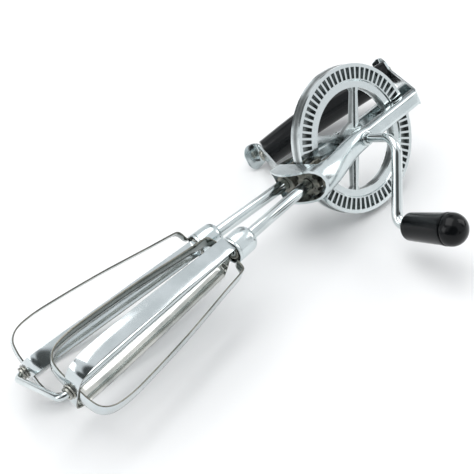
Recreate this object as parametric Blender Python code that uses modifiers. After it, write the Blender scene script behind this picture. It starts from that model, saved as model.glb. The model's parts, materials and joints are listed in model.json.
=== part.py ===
"""Rotary egg beater: stamped frame, cranked face gear, two pinions and two spinning wire-guided beaters.

Design axes: X along the shafts towards the grip, -Y towards the crank, Z across the frame.
The whole assembly hangs on one empty that lays it on its thumb rest, wheel rim and rear beater.
"""
import math

import bmesh
import bpy
from mathutils import Matrix, Vector

MM = 0.001
ASSEMBLY = "egg_beater"
GAP = 0.3                      # clearance left between pieces that touch
SHEET = 1.2                    # stamped sheet thickness

# Gear train
WHEEL_TEETH = 66
PINION_TEETH = 12
WHEEL_RADIUS = 38.9
WHEEL_HALF = 3.4               # half thickness of the toothed ring
RIM_BAND = 1.9                 # plain band outside the teeth
TOOTH_LENGTH = 6.0
TOOTH_OUTER = WHEEL_RADIUS - RIM_BAND
TOOTH_INNER = TOOTH_OUTER - TOOTH_LENGTH
TOOTH_DEPTH = 2.6
TOOTH_BAR = 1.15               # width of one radial tooth
RING_WIDTH = 4.4               # flat ring inside the teeth
RING_INNER = TOOTH_INNER - RING_WIDTH
HUB_RADIUS = 6.2
HUB_HALF = 4.9
AXLE_RADIUS = 2.2
SPACER_RADIUS = 3.0            # passes between the flanges of the arms
ARM_RADIUS = 2.8               # the rod thickens towards the crank arm
MESH_X = (TOOTH_OUTER + TOOTH_INNER) / 2   # distance of the pinion mesh from the axle
PITCH_RADIUS = MESH_X * PINION_TEETH / WHEEL_TEETH
TIP = PITCH_RADIUS + 0.82       # pinion tooth tip
ROOT = TIP - 2.6
SHAFT_OFFSET = WHEEL_HALF - 1.4 + PITCH_RADIUS
CRANK_TURN = math.radians(60.0)

# Shafts and beaters
SHAFT_SPREAD = math.atan(0.0903)   # lean of each shaft away from the middle plane
TUBE_RADIUS = 3.0
TUBE_BORE = 2.1
ROD_RADIUS = 1.6
HUB_X = 202.4
FERRULE_X = 103.4
FERRULE_RADIUS = 6.7
FERRULE_LENGTH = 13.6
BLADE_THICK = 0.7
BLADE_WIDTH = 8.0
WASHER_STEPS = 18
BLADE_TURN = {"front": math.radians(-41.0), "rear": math.radians(-23.0)}

# Frame
HOOD_HALF_Y = 21.2
HOOD_HALF_Z = TIP + 0.5 + SHEET   # the hood clears the pinions
ARM_HALF_Y = 10.0
ARM_HALF_Z = 4.3
SLOT_X = WHEEL_RADIUS + 0.9     # the wheel clears the end of its slot
MOUTH_X = SLOT_X + 10.2
SHOULDER_X = 39.8               # the hood narrows into the arms from here to the axle
STRAP_SLOPE = math.atan2(40.0, 61.4)
STRAP_START = Vector((WHEEL_RADIUS + 5.6, -8.0))   # the strap passes over the rim

# Crank and grip
CRANK_ARM = 44.0
CRANK_OUT = 32.0
KNOB_START = 39.4
KNOB_LENGTH = 37.0
KNOB_SMALL = 7.1
KNOB_BIG = 8.2
GRIP_ENDS = ((-13.6, 61.5), (30.0, 59.5), (STRAP_START.x + 32.7, 46.6))
GRIP_RADIUS = 7.6
GRIP_BULGE = 1.2

for old in list(bpy.data.objects):
    bpy.data.objects.remove(old, do_unlink=True)

assembly = bpy.data.collections.new(ASSEMBLY)
bpy.context.scene.collection.children.link(assembly)
cutters = bpy.data.collections.new(ASSEMBLY + "_cutters")
bpy.context.scene.collection.children.link(cutters)


# ---------------------------------------------------------------- materials
def surface(name, colour, metallic, roughness):
    mat = bpy.data.materials.new(name)
    mat.use_nodes = True
    shader = mat.node_tree.nodes["Principled BSDF"]
    shader.inputs["Base Color"].default_value = (*colour, 1.0)
    shader.inputs["Metallic"].default_value = metallic
    shader.inputs["Roughness"].default_value = roughness
    mat.diffuse_color = (*colour, 1.0)
    return mat


CHROME = surface("chromed_steel", (0.78, 0.80, 0.80), 1.0, 0.12)
STEEL = surface("stainless_steel", (0.70, 0.71, 0.70), 1.0, 0.16)
CAST = surface("plated_die_casting", (0.66, 0.68, 0.68), 1.0, 0.28)
PINION = surface("dull_die_casting", (0.30, 0.27, 0.22), 0.9, 0.45)
PLASTIC = surface("black_plastic", (0.012, 0.012, 0.014), 0.0, 0.28)


# ---------------------------------------------------------------- placing
def empty(name, parent, matrix):
    obj = bpy.data.objects.new(name, None)
    obj.empty_display_size = 0.01
    obj.parent = parent
    obj.matrix_local = matrix
    assembly.objects.link(obj)
    return obj


def add(name, mesh, parent, material=None, matrix=None):
    obj = bpy.data.objects.new(name, mesh)
    obj.parent = parent
    if matrix is not None:
        obj.matrix_local = matrix
    if material is None:
        cutters.objects.link(obj)
        obj.hide_render = True
        obj.display_type = "WIRE"
    else:
        mesh.materials.clear()
        mesh.materials.append(material)
        assembly.objects.link(obj)
    return obj


def cut(target, tool, operation="DIFFERENCE"):
    mod = target.modifiers.new(operation.lower(), "BOOLEAN")
    mod.operation = operation
    mod.solver = "EXACT"
    mod.object = tool
    return mod


def mesh_from(bm, name, smooth=True):
    bmesh.ops.recalc_face_normals(bm, faces=bm.faces)
    for face in bm.faces:
        face.smooth = smooth
    mesh = bpy.data.meshes.new(name)
    bm.to_mesh(mesh)
    bm.free()
    return mesh


# ---------------------------------------------------------------- shapes
def turned(name, outline, parent, material=None, steps=24, closed=False, matrix=None):
    """Spin an outline of (radius, height) in mm about the local Z axis."""
    bm = bmesh.new()
    verts = [bm.verts.new((r * MM, 0.0, z * MM)) for r, z in outline]
    for first, second in zip(verts, verts[1:]):
        bm.edges.new((first, second))
    if closed:
        bm.edges.new((verts[-1], verts[0]))
    mesh = bpy.data.meshes.new(name)
    bm.to_mesh(mesh)
    bm.free()
    obj = add(name, mesh, parent, material, matrix)
    screw = obj.modifiers.new("turn", "SCREW")
    screw.steps = steps
    screw.render_steps = steps
    screw.use_merge_vertices = True
    screw.merge_threshold = 0.00001
    screw.use_smooth_shade = True
    return obj


def washer(name, outer, inner, low, high, parent, material, matrix=None):
    outline = ((outer, high), (outer, low), (inner, low), (inner, high))
    return turned(name, outline, parent, material, WASHER_STEPS, True, matrix)


def prism(name, outline, low, high, parent, material=None, matrix=None, smooth=False):
    """Push a closed outline of (x, y) in mm from one height to another."""
    bm = bmesh.new()
    verts = [bm.verts.new((x * MM, y * MM, low * MM)) for x, y in outline]
    face = bm.faces.new(verts)
    grown = bmesh.ops.extrude_face_region(bm, geom=[face])["geom"]
    moved = [v for v in grown if isinstance(v, bmesh.types.BMVert)]
    bmesh.ops.translate(bm, verts=moved, vec=(0.0, 0.0, (high - low) * MM))
    return add(name, mesh_from(bm, name, smooth), parent, material, matrix)


def bar_mesh(bm, size, matrix):
    made = bmesh.ops.create_cube(bm, size=1.0)
    scale = Matrix.Diagonal((size[0] * MM, size[1] * MM, size[2] * MM, 1.0))
    bmesh.ops.transform(bm, verts=made["verts"], matrix=matrix @ scale)


def shift(x, y, z):
    return Matrix.Translation((x * MM, y * MM, z * MM))


def smooth_path(points, per_span):
    """Points on a smooth curve through the given ones."""
    pts = [Vector(p) for p in points]
    pts = [pts[0] * 2 - pts[1]] + pts + [pts[-1] * 2 - pts[-2]]
    out = []
    for i in range(1, len(pts) - 2):
        a, b, c, d = pts[i - 1], pts[i], pts[i + 1], pts[i + 2]
        for k in range(per_span):
            t = k / per_span
            out.append(0.5 * (2 * b + (c - a) * t + (2 * a - 5 * b + 4 * c - d) * t ** 2
                              + (3 * b - a - 3 * c + d) * t ** 3))
    out.append(pts[-2])
    return out


def ribbon(name, path, widths, thick, parent, material=None, crowns=None, columns=1, matrix=None):
    """Strip of sheet whose middle runs along a path in the local XY plane, wide along Z."""
    crowns = crowns or [0.0] * len(path)
    rows = len(path)
    bm = bmesh.new()
    bmesh.ops.create_grid(bm, x_segments=rows - 1, y_segments=columns, size=0.5)
    bm.verts.ensure_lookup_table()
    for vert in bm.verts:
        row = round((vert.co.x + 0.5) * (rows - 1))
        side = vert.co.y * 2.0
        before = path[max(row - 1, 0)]
        after = path[min(row + 1, rows - 1)]
        along = (after - before).normalized()
        normal = Vector((-along.y, along.x))
        place = path[row] + normal * (crowns[row] * (1.0 - side * side))
        vert.co = Vector((place.x * MM, place.y * MM, side * widths[row] * 0.5 * MM))
    obj = add(name, mesh_from(bm, name), parent, material, matrix)
    solid = obj.modifiers.new("sheet", "SOLIDIFY")
    solid.thickness = thick * MM
    solid.offset = 0.0
    solid.use_even_offset = True
    return obj


def tube_mesh(name, points, radii, parent, material=None, sides=20, matrix=None):
    """Round bar along 3-D points in mm, one radius per point."""
    curve = bpy.data.curves.new(name + "_path", "CURVE")
    curve.dimensions = "3D"
    curve.bevel_depth = MM
    curve.bevel_resolution = sides // 4 - 1
    curve.use_fill_caps = True
    spline = curve.splines.new("POLY")
    spline.points.add(len(points) - 1)
    for point, place, radius in zip(spline.points, points, radii):
        point.co = (place[0] * MM, place[1] * MM, place[2] * MM, 1.0)
        point.radius = radius
    holder = bpy.data.objects.new(name + "_path", curve)
    bpy.context.scene.collection.objects.link(holder)
    bpy.context.view_layer.update()
    mesh = bpy.data.meshes.new_from_object(holder.evaluated_get(bpy.context.evaluated_depsgraph_get()))
    bpy.data.objects.remove(holder, do_unlink=True)
    bm = bmesh.new()
    bm.from_mesh(mesh)
    bpy.data.meshes.remove(mesh)
    bmesh.ops.remove_doubles(bm, verts=bm.verts, dist=0.00001)
    return add(name, mesh_from(bm, name), parent, material, matrix)


def bend(corner, start, end, radius, count):
    """Rounded corner: points on an arc tangent to both legs."""
    corner, start, end = Vector(corner), Vector(start), Vector(end)
    first = (start - corner).normalized()
    last = (end - corner).normalized()
    half = first.angle(last) / 2
    leg = radius / math.tan(half)
    centre = corner + (first + last).normalized() * (radius / math.sin(half))
    one = corner + first * leg - centre
    two = corner + last * leg - centre
    turn = one.angle(two)
    out = []
    for i in range(count + 1):
        t = i / count
        out.append(centre + one * (math.sin((1 - t) * turn) / math.sin(turn))
                   + two * (math.sin(t * turn) / math.sin(turn)))
    return out


# ---------------------------------------------------------------- axes
rest = empty("rest_pose", None, Matrix.Identity(4))

# wheel axes: local Z runs out towards the crank, local X towards the grip
WHEEL_AXES = Matrix(((1, 0, 0, 0), (0, 0, -1, 0), (0, 1, 0, 0), (0, 0, 0, 1)))
drive = empty("drive_axis", rest, WHEEL_AXES @ Matrix.Rotation(CRANK_TURN, 4, "Z"))


def shaft_axes(side):
    """Local Z up one shaft; side is -1 on the crank side, +1 on the grip side."""
    up = Vector((math.cos(SHAFT_SPREAD), -side * math.sin(SHAFT_SPREAD), 0.0))
    across = Vector((0.0, 0.0, 1.0))
    third = up.cross(across)
    place = Vector((-MESH_X, side * SHAFT_OFFSET, 0.0)) * MM
    return Matrix(((across.x, third.x, up.x, place.x), (across.y, third.y, up.y, place.y),
                   (across.z, third.z, up.z, place.z), (0, 0, 0, 1)))


SIDES = (("front", -1), ("rear", 1))
shafts = {name: empty(name + "_beater_axis", rest, shaft_axes(side)) for name, side in SIDES}
STRETCH = 1.0 / math.cos(SHAFT_SPREAD)


def along(x):
    """Height on a shaft axis of the design position x (negative towards the beaters)."""
    return (x + MESH_X) * STRETCH


# ---------------------------------------------------------------- frame
def rounded_section(half_y, half_z, corner, per_corner=4):
    corner = min(corner, half_y, half_z)
    out = []
    for quarter in range(4):
        sy = (1, -1, -1, 1)[quarter]
        sz = (1, 1, -1, -1)[quarter]
        for k in range(per_corner + 1):
            angle = math.pi / 2 * (quarter + k / per_corner)
            out.append((sy * (half_y - corner) + corner * math.cos(angle),
                        sz * (half_z - corner) + corner * math.sin(angle)))
    return out


def frame_half_y(x):
    """Half width of the frame across the arms, from the hood to the arm tops."""
    t = min(max((x + SHOULDER_X) / SHOULDER_X, 0.0), 1.0)
    return HOOD_HALF_Y + (ARM_HALF_Y - HOOD_HALF_Y) * (t * t * (3 - 2 * t))


def frame_half_z(x):
    if x < 0:
        t = min(max((x + SHOULDER_X) / SHOULDER_X, 0.0), 1.0)
        return HOOD_HALF_Z + (5.4 - HOOD_HALF_Z) * t ** 0.75
    t = min(x / 5.0, 1.0)
    return 5.4 + (ARM_HALF_Z - 5.4) * (t * t * (3 - 2 * t))


def frame_corner(x):
    t = min(max((x + SHOULDER_X) / (SHOULDER_X + 5.0), 0.0), 1.0)
    return (HOOD_HALF_Z - 0.4) * (1 - t) + 2.3 * t


def loft(name, stations, inset, parent, material=None):
    bm = bmesh.new()
    rings = []
    for x in stations:
        section = rounded_section(frame_half_y(x) - inset, frame_half_z(x) - inset,
                                  frame_corner(x) - inset)
        rings.append([bm.verts.new((x * MM, y * MM, z * MM)) for y, z in section])
    count = len(rings[0])
    for one, two in zip(rings, rings[1:]):
        for i in range(count):
            j = (i + 1) % count
            bm.faces.new((one[i], one[j], two[j], two[i]))
    bm.faces.new(rings[0])
    bm.faces.new(rings[-1])
    return add(name, mesh_from(bm, name), parent, material)


STATIONS = (-MOUTH_X - 8, -40, -36, -31, -26, -21, -16, -11, -6, -2.5, 0, 2.5, 5, 66)
frame = loft("frame_body", STATIONS, 0.0, rest, CHROME)
hollow = loft("cut_frame_hollow", (-MOUTH_X - 10,) + STATIONS[1:-1] + (68,), SHEET, rest)
cut(frame, hollow)

# the mouth edge bows out between the two side walls
MOUTH_RADIUS = 29.5
mouth_centre = MOUTH_RADIUS - MOUTH_X
mouth = [(-70.0, 24.0), (-70.0, -24.0)]
for step in range(17):
    angle = math.radians(-50.0 + 100.0 * step / 16)
    mouth.append((mouth_centre - MOUTH_RADIUS * math.cos(angle), MOUTH_RADIUS * math.sin(angle)))
cut(frame, prism("cut_mouth", mouth, -12, 12, rest))

# window between the arms, which the wheel runs through
ARM_FLANGE = 4.6
window = [(70.0, ARM_HALF_Y - ARM_FLANGE)]
for x in (5.0, -3.0, -9.0, -15.0, -21.0, -27.0, -33.0):
    window.append((x, frame_half_y(x) - ARM_FLANGE))
window += [(-SLOT_X + 1.6, 15.6), (-SLOT_X + 0.4, 14.6), (-SLOT_X, 13.0)]
window += [(x, -y) for x, y in reversed(window)]
cut(frame, prism("cut_window", window, -12, 12, rest))

# the arm tops are cut off along the inside of the top strap
strap_dir = Vector((math.sin(STRAP_SLOPE), math.cos(STRAP_SLOPE)))
strap_out = Vector((strap_dir.y, -strap_dir.x))


def strap_point(distance, out=0.0):
    return STRAP_START + strap_dir * distance + strap_out * out


trim = [strap_point(-30.0), strap_point(60.0), strap_point(60.0, 60.0), strap_point(-30.0, 60.0)]
cut(frame, prism("cut_arm_tops", [tuple(p) for p in trim], -12, 12, rest))

# top strap: one band from the front arm across the rear arm to the far side of the grip
STRAP_LENGTH = 74.5
STRAP_WIDTH = 2 * ARM_HALF_Z - 0.4
strap_foot = (-ARM_HALF_Y + 0.2 - STRAP_START.y) / strap_dir.y
SWELL_START = 54.0
SWELL_END = 62.5
END_WIDTH = 2 * GRIP_RADIUS + 0.4      # the strap swells into a plate over the grip's end
top_path = [strap_point(strap_foot + (SWELL_START - strap_foot) * k / 5) for k in range(6)]
top_path += [strap_point(SWELL_START + (SWELL_END - SWELL_START) * k / 4) for k in range(1, 5)]
top_path.append(strap_point(67.0))
curl = strap_point(STRAP_LENGTH, -5.6)
top_path += bend(strap_point(STRAP_LENGTH), strap_point(60.0), curl, 2.4, 5)
top_path.append(curl)


def strap_width(place):
    t = ((place - STRAP_START).dot(strap_dir) - SWELL_START) / (SWELL_END - SWELL_START)
    t = min(max(t, 0.0), 1.0)
    return STRAP_WIDTH + (END_WIDTH - STRAP_WIDTH) * t * t * (3 - 2 * t)


top_widths = [strap_width(p) for p in top_path]
top_widths[-1] *= 0.82
cut(frame, ribbon("tool_top_strap", top_path, top_widths, SHEET, rest), "UNION")

# the front arm rolls over into the strap
ROLL = 4.5
outer_foot = strap_point(0.0, SHEET * 0.5)
corner_at = outer_foot - strap_dir * ((outer_foot.y + ARM_HALF_Y) / strap_dir.y)
roll = bend(corner_at, corner_at + Vector((-20.0, 0.0)), corner_at + strap_dir * 20.0, ROLL, 8)
roll_tool = [tuple(p) for p in roll]
roll_tool += [tuple(roll[-1] + strap_out * 8.0), tuple(corner_at + Vector((8.0, -8.0))),
              tuple(roll[0] + Vector((0.0, -8.0)))]
cut(frame, prism("cut_roll", roll_tool, -12, 12, rest))

# lower strap: from the side of the hood to the thumb rest beyond the grip
LOW_START = Vector((-36.5, HOOD_HALF_Y - SHEET * 0.5))
low_dir = Vector((0.47, 0.883)).normalized()
low_out = Vector((-low_dir.y, low_dir.x))
low_end = LOW_START + low_dir * 54.6
low_path = [LOW_START + low_dir * d for d in (-2.0, 6.0, 14.0, 24.0, 34.0, 50.2)]
lip_end = low_end + Vector((-11.0, 1.2))
low_path += bend(low_end, low_path[-1], lip_end, 2.7, 6)
low_path += [low_end.lerp(lip_end, t) for t in (0.55, 0.7, 0.84, 0.94, 1.0)]


STRIP = 8.8
LIP_WIDTH = 15.0


def lip_width(place):
    """The strap is even up to the grip, then swells into a round-ended thumb rest."""
    if place.y < low_path[5].y + 0.01:
        return STRIP
    t = (place - low_path[5]).length / (lip_end - low_path[5]).length
    swell = STRIP + (LIP_WIDTH - STRIP) * math.sin(math.pi * 0.5 * min(t * 1.4, 1.0))
    tip = max(t - 0.6, 0.0) / 0.4
    return swell * math.sqrt(1.0 - 0.85 * tip * tip)


LIP_CROWN = 1.6
lip_crowns = [LIP_CROWN * max(0.0, lip_width(p) / STRIP - 1.0) for p in low_path]
lower = ribbon("tool_lower_strap", low_path, [lip_width(p) for p in low_path], SHEET, rest,
               crowns=lip_crowns, columns=4)
cut(frame, lower, "UNION")

# holes for the axle bushes
BUSH_RADIUS = 3.0
bush_hole = turned("cut_bush_holes", ((0, 16), (BUSH_RADIUS + GAP, 16), (BUSH_RADIUS + GAP, -16), (0, -16)),
                   rest, None, 32, False, WHEEL_AXES)
cut(frame, bush_hole)

# ---------------------------------------------------------------- grip
GRIP_ROD = 2.0
low_seat = LOW_START + low_dir * 46.5
top_seat = strap_point(65.2)
grip_line = smooth_path([Vector(p) for p in GRIP_ENDS], 6)
span = len(grip_line) - 1
first_step = (grip_line[1] - grip_line[0]).normalized() * 7.0
last_step = (grip_line[-1] - grip_line[-2]).normalized() * 7.0
grip_points = [grip_line[0] - first_step] + grip_line + [grip_line[-1] + last_step]
grip_radii = [GRIP_RADIUS + GRIP_BULGE * math.sin(math.pi * i / span) for i in range(span + 1)]
grip_radii = [GRIP_RADIUS] + grip_radii + [GRIP_RADIUS]
grip = tube_mesh("handle_grip", [(p.x, p.y, 0.0) for p in grip_points], grip_radii, rest, PLASTIC, 28)
seat = SHEET * 0.5 + GAP
low_face = [low_seat - low_dir * 20.0 - low_out * seat, low_seat + low_dir * 20.0 - low_out * seat,
            low_seat + low_dir * 20.0 + low_out * 20.0, low_seat - low_dir * 20.0 + low_out * 20.0]
cut(grip, prism("cut_grip_low_end", [tuple(p) for p in low_face], -12, 12, rest))
top_face = [top_seat - strap_dir * 20.0 - strap_out * seat, top_seat + strap_dir * 20.0 - strap_out * seat,
            top_seat + strap_dir * 20.0 + strap_out * 20.0, top_seat - strap_dir * 20.0 + strap_out * 20.0]
cut(grip, prism("cut_grip_top_end", [tuple(p) for p in top_face], -12, 12, rest))

# rod through the grip, riveted over outside both straps
HEAD = SHEET * 0.5 + GAP
rod_ends = (low_seat + low_out * (HEAD + 1.0), top_seat + strap_out * (HEAD + 1.0))
rod_line = [rod_ends[0], low_seat - low_out * 3.0] + grip_line[3:-3:2] + [top_seat - strap_out * 3.0, rod_ends[1]]
rod_line = [Vector((p.x, p.y, 0.0)) for p in rod_line]
tube_mesh("grip_rod", rod_line, [GRIP_ROD] * len(rod_line), rest, STEEL, 12)
reach = [rod_line[0] * 2 - rod_line[1]] + rod_line + [rod_line[-1] * 2 - rod_line[-2]]
bore = tube_mesh("cut_grip_rod", reach, [GRIP_ROD + GAP] * len(reach), rest, None, 12)
cut(grip, bore)
cut(frame, bore)


def facing(place, normal):
    """Local Z along a direction lying in the design XY plane."""
    across = Vector((0.0, 0.0, 1.0))
    side = across.cross(Vector((normal.x, normal.y, 0.0)))
    return Matrix(((across.x, side.x, normal.x, place.x * MM), (across.y, side.y, normal.y, place.y * MM),
                   (across.z, side.z, 0.0, 0.0), (0, 0, 0, 1)))


rivet = ((2.4, HEAD + 1.5), (2.9, HEAD + 1.2), (3.2, HEAD + 0.6), (3.2, HEAD),
         (GRIP_ROD + GAP, HEAD), (GRIP_ROD + GAP, HEAD + 1.5))
turned("grip_rivet_top", rivet, rest, STEEL, 20, True, facing(top_seat, strap_out))
turned("grip_rivet_bottom", rivet, rest, STEEL, 20, True, facing(low_seat, low_out))

# ---------------------------------------------------------------- wheel, axle and crank
rim = WHEEL_RADIUS
bore_r = AXLE_RADIUS + GAP
face = WHEEL_HALF
inner_face = face - 0.7
web = 1.7
profile = [(rim, face), (rim, -face), (TOOTH_INNER - 0.5, -face), (TOOTH_INNER - 1.0, -inner_face),
           (RING_INNER, -inner_face), (RING_INNER, -web), (HUB_RADIUS, -web), (HUB_RADIUS, -HUB_HALF)]
mirrored = [(r, -z) for r, z in reversed(profile[2:])]
outline = profile + [(bore_r, -HUB_HALF), (bore_r, HUB_HALF)] + mirrored
wheel = turned("gear_wheel", outline, drive, CAST, WHEEL_TEETH, True)

bm = bmesh.new()
PITCH = 2 * math.pi / WHEEL_TEETH
for index in range(WHEEL_TEETH):
    turn = Matrix.Rotation(index * PITCH, 4, "Z")
    for side in (-1, 1):
        corners = []
        for radius in (TOOTH_INNER, TOOTH_OUTER):
            half = radius * math.tan(PITCH / 2) - TOOTH_BAR * 0.5 / math.cos(PITCH / 2)
            corners.append((radius, half))
        (r0, h0), (r1, h1) = corners
        floor = [bm.verts.new(turn @ Vector((x * MM, y * MM, side * (face - TOOTH_DEPTH) * MM)))
                 for x, y in ((r0, -h0), (r1, -h1), (r1, h1), (r0, h0))]
        base = bm.faces.new(floor)
        grown = bmesh.ops.extrude_face_region(bm, geom=[base])["geom"]
        moved = [v for v in grown if isinstance(v, bmesh.types.BMVert)]
        bmesh.ops.translate(bm, verts=moved, vec=(0.0, 0.0, side * (TOOTH_DEPTH + 1.0) * MM))
cut(wheel, add("cut_wheel_slots", mesh_from(bm, "cut_wheel_slots", False), drive))

SPOKE_NARROW = 3.0
SPOKE_WIDE = 4.6
WINDOW_IN = 9.0
window_faces = []
for quarter in range(4):
    points = []
    out_r = RING_INNER + 0.05
    edge_out = math.asin((SPOKE_NARROW * 0.5 + 1.4) / out_r)
    edge_in = math.asin(SPOKE_WIDE * 0.5 / WINDOW_IN)
    knee_r = out_r - 2.0
    knee = math.asin((SPOKE_NARROW * 0.5) / knee_r)
    start = quarter * math.pi / 2
    points.append((WINDOW_IN, start + edge_in))
    points.append((knee_r, start + knee))
    for k in range(9):
        points.append((out_r, start + edge_out + (math.pi / 2 - 2 * edge_out) * k / 8))
    points.append((knee_r, start + math.pi / 2 - knee))
    points.append((WINDOW_IN, start + math.pi / 2 - edge_in))
    points.append((WINDOW_IN - 0.6, start + math.pi / 4))
    cut(wheel, prism("cut_window_%d" % quarter, [(r * math.cos(a), r * math.sin(a)) for r, a in points],
                     -2.4, 2.4, drive))

for index in range(2):
    bm = bmesh.new()
    bar_mesh(bm, (2 * RING_INNER + 1.0, 1.7, 5.0), Matrix.Rotation(index * math.pi / 2, 4, "Z"))
    cut(wheel, add("tool_rib_%d" % index, mesh_from(bm, "tool_rib", False), drive), "UNION")
cut(wheel, turned("cut_wheel_bore", ((0, 9), (bore_r, 9), (bore_r, -9), (0, -9)), drive, None, 32))

path = [Vector((0, 0, -ARM_HALF_Y - 3.2)), Vector((0, 0, 9.0))]
path += bend((0, 0, CRANK_OUT), (0, 0, 9.0), (-CRANK_ARM, 0, CRANK_OUT), 8.5, 6)
path += bend((-CRANK_ARM, 0, CRANK_OUT), (0, 0, CRANK_OUT), (-CRANK_ARM, 0, 60.0), 6.0, 6)
SPINDLE_END = KNOB_START + 26.0
path.append(Vector((-CRANK_ARM, 0, SPINDLE_END)))
radii = [AXLE_RADIUS, AXLE_RADIUS]
radii += [AXLE_RADIUS + (ARM_RADIUS - AXLE_RADIUS) * k / 6 for k in range(7)]
radii += [ARM_RADIUS + (AXLE_RADIUS - ARM_RADIUS) * k / 6 for k in range(7)]
radii.append(AXLE_RADIUS)
tube_mesh("crank_rod", path, radii, drive, CHROME, 20)

WEB_IN = ARM_HALF_Y - SHEET
BUSH_END = ARM_HALF_Y + 1.6
CAP_START = BUSH_END + GAP
flip = Matrix.Rotation(math.pi, 4, "X")
for name, turn in (("front", Matrix.Identity(4)), ("rear", flip)):
    washer("hub_spacer_" + name, SPACER_RADIUS, bore_r, HUB_HALF + GAP, WEB_IN - GAP, drive, STEEL, turn)
    bush = ((BUSH_RADIUS + 0.5, BUSH_END), (BUSH_RADIUS + 0.8, BUSH_END - 0.3),
            (BUSH_RADIUS + 0.8, ARM_HALF_Y + GAP), (BUSH_RADIUS, ARM_HALF_Y + GAP),
            (BUSH_RADIUS, WEB_IN), (bore_r, WEB_IN), (bore_r, BUSH_END))
    turned("axle_bush_" + name, bush, rest, STEEL, 20, True, WHEEL_AXES @ turn)
cap = ((2.9, CAP_START + 2.0), (3.7, CAP_START + 1.5), (4.1, CAP_START + 0.7), (4.1, CAP_START),
       (bore_r, CAP_START), (bore_r, CAP_START + 2.0))
turned("axle_end_cap", cap, drive, STEEL, 20, True, flip)

knob_axis = empty("knob_axis", drive, shift(-CRANK_ARM, 0.0, 0.0))
KNOB_SEAM = KNOB_START + 27.5
KNOB_TOP = KNOB_START + KNOB_LENGTH
SPIN_BORE = AXLE_RADIUS + GAP
knob = [(KNOB_BIG - 0.25, KNOB_SEAM), (KNOB_BIG, KNOB_SEAM - 0.25), (KNOB_SMALL, KNOB_START + 2.6),
        (KNOB_SMALL - 0.4, KNOB_START + 1.3), (KNOB_SMALL - 1.3, KNOB_START + 0.6), (SPIN_BORE, KNOB_START + 0.6),
        (SPIN_BORE, KNOB_SEAM - 4.6), (5.2, KNOB_SEAM - 4.6), (5.2, KNOB_SEAM)]
turned("crank_knob", knob, knob_axis, PLASTIC, 30, True)
dome_start = KNOB_TOP - 8.0
dome = [(0.0, KNOB_TOP)]
for step in range(1, 6):
    angle = math.pi / 2 * step / 5
    dome.append((KNOB_BIG * math.sin(angle), dome_start + 8.0 * math.cos(angle)))
dome += [(KNOB_BIG, KNOB_SEAM + GAP + 0.25), (KNOB_BIG - 0.25, KNOB_SEAM + GAP), (0.0, KNOB_SEAM + GAP)]
turned("knob_end_cap", dome, knob_axis, PLASTIC, 30)
washer("knob_retainer", 4.6, SPIN_BORE, KNOB_SEAM - 4.2, KNOB_SEAM - 3.0, drive, STEEL,
       shift(-CRANK_ARM, 0.0, 0.0))

# ---------------------------------------------------------------- beaters
LEVEL = along(-FERRULE_X)      # height of the ferrule rim on the shaft axis
HUB_LEVEL = along(-HUB_X)
PINION_HALF = 2.6
PINION_LOW = 2.0               # the leaning teeth stop short of the slots' outer ends
NECK = 4.6
ROD_BORE = ROD_RADIUS + GAP
TUBE_HOLE = TUBE_RADIUS + GAP


def pinion(name, parent):
    """Twelve straight teeth, a plain neck past the wheel rim and a notched flange."""
    blank = [(ROOT, PINION_HALF), (ROOT, -PINION_LOW), (NECK, -PINION_LOW - 0.1), (NECK, -6.9), (6.9, -6.9),
             (7.2, -7.2), (7.2, -9.9), (6.9, -10.2), (TUBE_HOLE, -10.2), (TUBE_HOLE, PINION_HALF)]
    obj = turned(name, blank, parent, PINION, 24, True)
    bm = bmesh.new()
    for index in range(PINION_TEETH):
        turn = Matrix.Rotation(index * 2 * math.pi / PINION_TEETH, 4, "Z")
        outline = ((ROOT - 0.5, -0.42), (ROOT + 0.2, -0.42), (PITCH_RADIUS, -0.44), (TIP, -0.34),
                   (TIP, 0.34), (PITCH_RADIUS, 0.44), (ROOT + 0.2, 0.42), (ROOT - 0.5, 0.42))
        base = bm.faces.new([bm.verts.new(turn @ Vector((x * MM, y * MM, -(PINION_LOW - 0.1) * MM)))
                             for x, y in outline])
        grown = bmesh.ops.extrude_face_region(bm, geom=[base])["geom"]
        moved = [v for v in grown if isinstance(v, bmesh.types.BMVert)]
        bmesh.ops.translate(bm, verts=moved, vec=(0.0, 0.0, (PINION_LOW + PINION_HALF - 0.2) * MM))
    cut(obj, add("tool_teeth_" + name, mesh_from(bm, name, False), parent), "UNION")
    bm = bmesh.new()
    for index in range(6):
        turn = Matrix.Rotation(index * math.pi / 3, 4, "Z")
        bar_mesh(bm, (3.0, 2.2, 4.4), turn @ shift(7.4, 0.0, -8.6))
    cut(obj, add("cut_notches_" + name, mesh_from(bm, name, False), parent))
    return obj


def blade_path(drop):
    """One strip: up inside the ferrule, over the shoulder, down the flank and across the hub."""
    half = [(5.15, 11.0), (5.15, 4.0), (5.3, -0.5), (6.6, -2.4), (9.4, -3.2), (11.2, -4.5), (12.0, -8.0),
            (13.3, -20.0), (16.6, -48.0), (18.7, -75.0), (19.0, -87.0), (17.8, -95.0), (14.3, -99.6),
            (9.0, -101.0), (4.5, -101.2)]
    line = smooth_path([Vector(p) for p in half], 2)
    low = HUB_LEVEL - LEVEL
    fit = low / -101.2
    pts = []
    for p in line:
        z = p.y * fit if p.y < 0 else p.y
        z -= drop * min(max((-z - 80.0) / 20.0, 0.0), 1.0)
        pts.append(Vector((p.x, LEVEL + z)))
    return pts + [Vector((0.0, pts[-1].y))] + [Vector((-p.x, p.y)) for p in reversed(pts)]


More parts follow.
